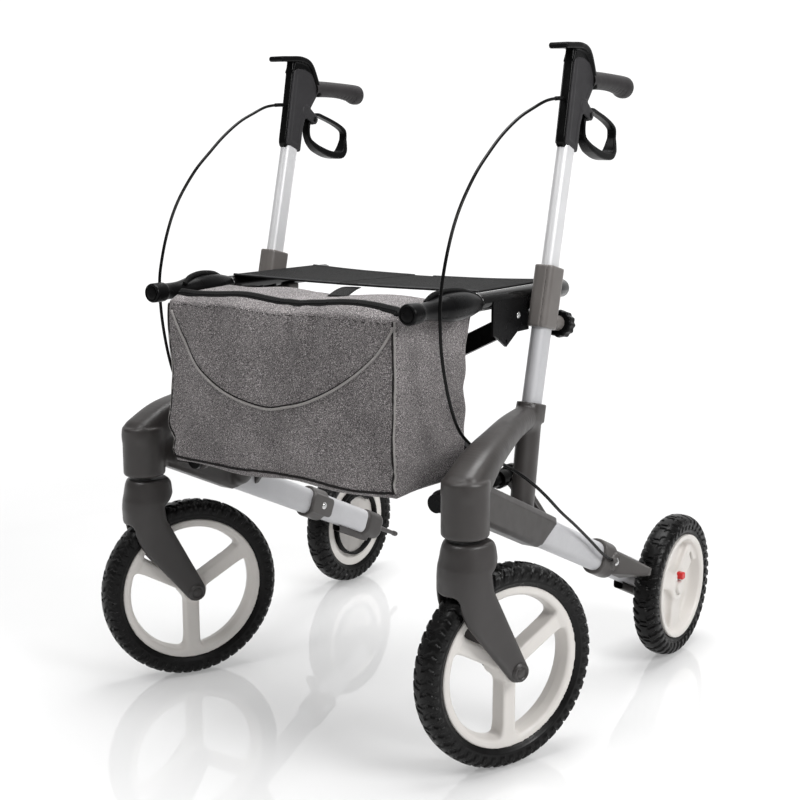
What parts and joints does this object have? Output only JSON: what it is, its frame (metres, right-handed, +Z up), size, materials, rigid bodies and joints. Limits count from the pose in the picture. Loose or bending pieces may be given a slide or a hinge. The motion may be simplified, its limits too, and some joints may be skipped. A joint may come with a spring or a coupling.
{
  "type": "all terrain rollator",
  "caption": "Folding outdoor walker with large treaded wheels, swivelling front forks, height-set handles with loop brakes, a textile seat and a zipped bag.",
  "frame": {"origin": "floor point under the middle of the box round the whole walker, casters as turned at rest", "axes": "+Z up, -Y the way it rolls forward, +X to the user's left"},
  "size_m": [0.7341, 0.7572, 0.9719],
  "materials": {
    "casting": "satin warm grey paint",
    "fork": "satin dark grey paint",
    "clamp": "moulded warm grey",
    "tube": "satin anodised",
    "mast": "bright satin anodised",
    "rim": "moulded off white",
    "tyre": "black rubber",
    "black_plastic": "black moulded",
    "shell": "dark grey moulded",
    "grip": "soft black rubber",
    "steel": "zinc plated",
    "rail": "black powder coat",
    "seat": "black woven textile",
    "bag": "grey melange woven textile",
    "button": "red moulded"
  },
  "bodies": {
    "left_frame": {"left_side_frame": "casting", "left_upright_tube": "tube", "left_seat_clamp": "clamp", "left_rear_tube": "tube", "left_rear_collar": "clamp", "left_axle_housing": "casting", "left_rear_axle": "steel", "left_brake_cable": "grip", "left_frame_screws": "steel"},
    "left_handle": {"left_height_tube": "mast", "left_handle_shell": "shell", "left_handle_hood": "black_plastic", "left_grip": "grip", "left_lever_pin": "steel"},
    "left_lever": {"left_brake_lever": "black_plastic"},
    "left_shoe": {"left_brake_shoe": "black_plastic"},
    "left_knob": {"left_height_knob": "black_plastic"},
    "left_caster": {"left_fork": "fork", "left_steering_stem": "steel", "left_front_axle": "steel"},
    "left_front_wheel": {"left_front_rim": "rim", "left_front_tyre": "tyre"},
    "left_rear_wheel": {"left_rear_rim": "rim", "left_rear_tyre": "tyre"},
    "left_button": {"left_release_button": "button"},
    "left_rail": {"left_seat_rail": "rail", "left_rail_horn": "black_plastic", "bag": "bag"},
    "left_seat": {"left_seat_half": "seat"},
    "right_frame": {"right_side_frame": "casting", "right_upright_tube": "tube", "right_seat_clamp": "clamp", "right_rear_tube": "tube", "right_rear_collar": "clamp", "right_axle_housing": "casting", "right_rear_axle": "steel", "right_brake_cable": "grip", "right_frame_screws": "steel"},
    "right_handle": {"right_height_tube": "mast", "right_handle_shell": "shell", "right_handle_hood": "black_plastic", "right_grip": "grip", "right_lever_pin": "steel"},
    "right_lever": {"right_brake_lever": "black_plastic"},
    "right_shoe": {"right_brake_shoe": "black_plastic"},
    "right_knob": {"right_height_knob": "black_plastic"},
    "right_caster": {"right_fork": "fork", "right_steering_stem": "steel", "right_front_axle": "steel"},
    "right_front_wheel": {"right_front_rim": "rim", "right_front_tyre": "tyre"},
    "right_rear_wheel": {"right_rear_rim": "rim", "right_rear_tyre": "tyre"},
    "right_button": {"right_release_button": "button"},
    "right_rail": {"right_seat_rail": "rail", "right_rail_horn": "black_plastic"},
    "right_seat": {"right_seat_half": "seat"},
    "arm_a": {"cross_arm_a": "rail", "cross_bolt": "steel"},
    "arm_b": {"cross_arm_b": "rail"}
  },
  "joints": [
    {"name": "fold", "type": "hinge", "parent": "left_frame", "child": "arm_a", "pos_m": [0.20226, -0.11038, 0.352], "axis": [0, 1, 0], "range_deg": [0, 52], "deforming": ["bag"]},
    {"name": "brace_cross", "type": "hinge", "parent": "arm_a", "child": "arm_b", "pos_m": [-0.01674, -0.11038, 0.462], "axis": [0, 1, 0], "range_deg": [-104, 0]},
    {"name": "right_frame_pivot", "type": "hinge", "parent": "arm_b", "child": "right_frame", "pos_m": [-0.23574, -0.11038, 0.352], "axis": [0, 1, 0], "range_deg": [0, 52]},
    {"name": "right_rail_pivot", "type": "hinge", "parent": "arm_a", "child": "right_rail", "pos_m": [-0.23574, -0.11038, 0.572], "axis": [0, 1, 0], "range_deg": [-52, 0]},
    {"name": "left_rail_pivot", "type": "hinge", "parent": "arm_b", "child": "left_rail", "pos_m": [0.20226, -0.11038, 0.572], "axis": [0, 1, 0], "range_deg": [0, 52]},
    {"name": "left_seat_fold", "type": "hinge", "parent": "left_rail", "child": "left_seat", "pos_m": [0.20626, -0.17137, 0.612], "axis": [0, 1, 0], "range_deg": [0, 90]},
    {"name": "right_seat_fold", "type": "hinge", "parent": "right_rail", "child": "right_seat", "pos_m": [-0.23974, -0.17137, 0.612], "axis": [0, 1, 0], "range_deg": [-90, 0]},
    {"name": "left_height", "type": "slide", "parent": "left_frame", "child": "left_handle", "axis": [0, 0.2334, 0.9724], "range_m": [-0.08, 0.09], "deforming": ["left_brake_cable"]},
    {"name": "left_brake", "type": "hinge", "parent": "left_handle", "child": "left_lever", "pos_m": [0.23726, 0.06417, 0.864], "axis": [1, 0, 0], "range_deg": [-20, 12], "stiffness_Nm_per_rad": 2},
    {"name": "left_shoe_apply", "type": "hinge", "parent": "left_frame", "child": "left_shoe", "pos_m": [0.29126, 0.23262, 0.115], "axis": [1, 0, 0], "range_deg": [-2.2, 1.4]},
    {"name": "left_knob_turn", "type": "hinge", "parent": "left_frame", "child": "left_knob", "pos_m": [0.23726, -0.00361, 0.56797], "axis": [0, 0.9724, -0.2334], "range_deg": [0, 360]},
    {"name": "left_swivel", "type": "hinge", "parent": "left_frame", "child": "left_caster", "pos_m": [0.27126, -0.30638, 0.32793], "axis": [0, 0, 1], "continuous": true},
    {"name": "left_front_spin", "type": "hinge", "parent": "left_caster", "child": "left_front_wheel", "pos_m": [0.29582, -0.24404, 0.14], "axis": [0.9304, -0.3665, 0], "continuous": true},
    {"name": "left_rear_spin", "type": "hinge", "parent": "left_frame", "child": "left_rear_wheel", "pos_m": [0.31326, 0.26663, 0.115], "axis": [1, 0, 0], "continuous": true},
    {"name": "left_release", "type": "slide", "parent": "left_rear_wheel", "child": "left_button", "axis": [-1, 0, 0], "range_m": [0, 0.004], "stiffness_N_per_m": 600},
    {"name": "right_height", "type": "slide", "parent": "right_frame", "child": "right_handle", "axis": [0, 0.2334, 0.9724], "range_m": [-0.08, 0.09], "deforming": ["right_brake_cable"]},
    {"name": "right_brake", "type": "hinge", "parent": "right_handle", "child": "right_lever", "pos_m": [-0.27074, 0.06417, 0.864], "axis": [1, 0, 0], "range_deg": [-20, 12], "stiffness_Nm_per_rad": 2},
    {"name": "right_shoe_apply", "type": "hinge", "parent": "right_frame", "child": "right_shoe", "pos_m": [-0.32474, 0.23262, 0.115], "axis": [1, 0, 0], "range_deg": [-2.2, 1.4]},
    {"name": "right_knob_turn", "type": "hinge", "parent": "right_frame", "child": "right_knob", "pos_m": [-0.27074, -0.00361, 0.56797], "axis": [0, 0.9724, -0.2334], "range_deg": [0, 360]},
    {"name": "right_swivel", "type": "hinge", "parent": "right_frame", "child": "right_caster", "pos_m": [-0.30474, -0.30638, 0.32793], "axis": [0, 0, 1], "continuous": true},
    {"name": "right_front_spin", "type": "hinge", "parent": "right_caster", "child": "right_front_wheel", "pos_m": [-0.2738, -0.24694, 0.14], "axis": [0.887, -0.4617, 0], "continuous": true},
    {"name": "right_rear_spin", "type": "hinge", "parent": "right_frame", "child": "right_rear_wheel", "pos_m": [-0.34674, 0.26663, 0.115], "axis": [1, 0, 0], "continuous": true},
    {"name": "right_release", "type": "slide", "parent": "right_rear_wheel", "child": "right_button", "axis": [1, 0, 0], "range_m": [0, 0.004], "stiffness_N_per_m": 600}
  ],
  "couplings": [
    {"joint": "brace_cross", "follows": "fold", "ratio": -2},
    {"joint": "right_frame_pivot", "follows": "fold", "ratio": 1},
    {"joint": "right_rail_pivot", "follows": "fold", "ratio": -1},
    {"joint": "left_rail_pivot", "follows": "fold", "ratio": 1},
    {"joint": "left_seat_fold", "follows": "fold", "ratio": 1.6},
    {"joint": "right_seat_fold", "follows": "fold", "ratio": -1.6},
    {"joint": "left_shoe_apply", "follows": "left_brake", "ratio": 0.1},
    {"joint": "right_shoe_apply", "follows": "right_brake", "ratio": 0.1}
  ]
}
